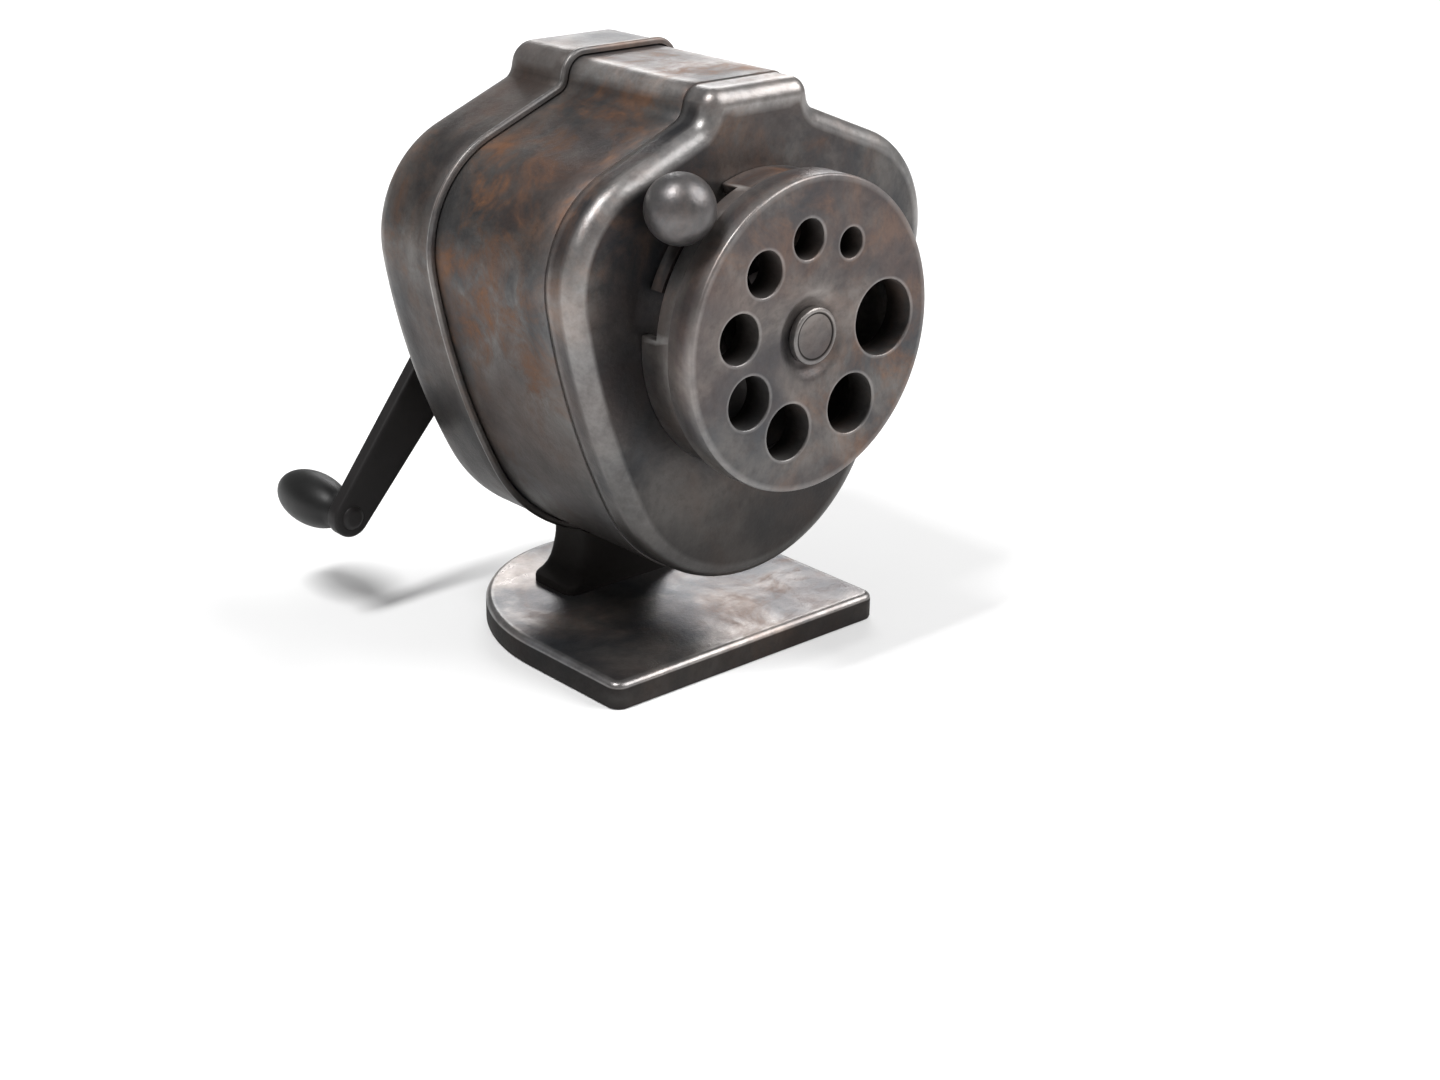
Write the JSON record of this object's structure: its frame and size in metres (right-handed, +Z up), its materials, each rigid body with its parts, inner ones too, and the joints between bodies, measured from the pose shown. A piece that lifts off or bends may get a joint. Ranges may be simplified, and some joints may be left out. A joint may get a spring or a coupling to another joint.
{
  "type": "pencil sharpener",
  "caption": "Hand-cranked desktop pencil sharpener with a rusted steel body, a turning selector dial of guide holes, a ball lever, a pull-off receptacle, a milling head and a rear crank.",
  "frame": {"origin": "centre of the base plate's underside", "axes": "+X to the right seen from the front, +Y from the dial back to the crank, +Z up"},
  "size_m": [0.0907, 0.099, 0.1064],
  "materials": {
    "rusted_steel": "aged pressed steel with brown rust and worn edges",
    "rusted_steel_dark": "darkened, half-polished rusty steel",
    "rusted_steel_pale": "paler rusty steel with bright worn rims",
    "dull_steel": "plain dull steel of the fittings",
    "cutter_steel": "hardened milled steel",
    "cast_black": "black cast iron",
    "black_knob": "matte black knob",
    "bronze": "oiled sintered bronze"
  },
  "bodies": {
    "frame": {"base_plate": "rusted_steel_dark", "rear_frame": "rusted_steel", "base_screws": "dull_steel", "gear_cage": "dull_steel", "ring_gear": "dull_steel", "cage_screws": "dull_steel", "shaft_bush": "bronze", "catch_spring": "dull_steel", "catch_rivet": "dull_steel", "rim_band": "rusted_steel"},
    "receptacle": {"receptacle_shell": "rusted_steel", "front_cover": "rusted_steel", "collar": "rusted_steel_dark", "guide_tube": "dull_steel", "dial_pivot": "rusted_steel_pale", "spring_washer": "dull_steel"},
    "dial": {"selector_dial": "rusted_steel_pale"},
    "lever": {"lever_plate": "rusted_steel_dark", "lever_stem": "dull_steel", "lever_ball": "rusted_steel"},
    "crank": {"crank_shaft": "dull_steel", "thrust_washer": "bronze", "crank_spacer": "dull_steel", "cutter_carrier": "cast_black", "cutter_pins": "dull_steel", "crank_arm": "cast_black", "crank_nut": "dull_steel", "knob_pin": "dull_steel"},
    "cutter_left": {"cutter_left": "cutter_steel", "pinion_left": "bronze"},
    "cutter_right": {"cutter_right": "cutter_steel", "pinion_right": "bronze"},
    "knob": {"crank_knob": "black_knob"}
  },
  "joints": [
    {"name": "receptacle_slide", "type": "slide", "parent": "frame", "child": "receptacle", "axis": [0, -1, 0], "range_m": [0, 0.05]},
    {"name": "dial_turn", "type": "hinge", "parent": "receptacle", "child": "dial", "pos_m": [0, -0.04035, 0.0649], "axis": [0, -1, 0], "continuous": true},
    {"name": "lever_swing", "type": "hinge", "parent": "receptacle", "child": "lever", "pos_m": [0, -0.03155, 0.0649], "axis": [0, -1, 0], "range_deg": [-10, 15]},
    {"name": "crank_turn", "type": "hinge", "parent": "frame", "child": "crank", "pos_m": [-0.01421, 0.024, 0.05602], "axis": [0, 1, 0], "continuous": true},
    {"name": "cutter_right_spin", "type": "hinge", "parent": "crank", "child": "cutter_right", "pos_m": [-0.004, -0.0172, 0.05602], "axis": [-0.1908, 0.9816, 0], "continuous": true},
    {"name": "cutter_left_spin", "type": "hinge", "parent": "crank", "child": "cutter_left", "pos_m": [-0.0244, -0.0172, 0.05602], "axis": [0.1908, 0.9816, 0], "continuous": true},
    {"name": "knob_spin", "type": "hinge", "parent": "crank", "child": "knob", "pos_m": [-0.0434, 0.0455, 0.02035], "axis": [0, 1, 0], "continuous": true}
  ],
  "couplings": [
    {"joint": "cutter_right_spin", "follows": "crank_turn", "ratio": -4},
    {"joint": "cutter_left_spin", "follows": "crank_turn", "ratio": -4}
  ]
}
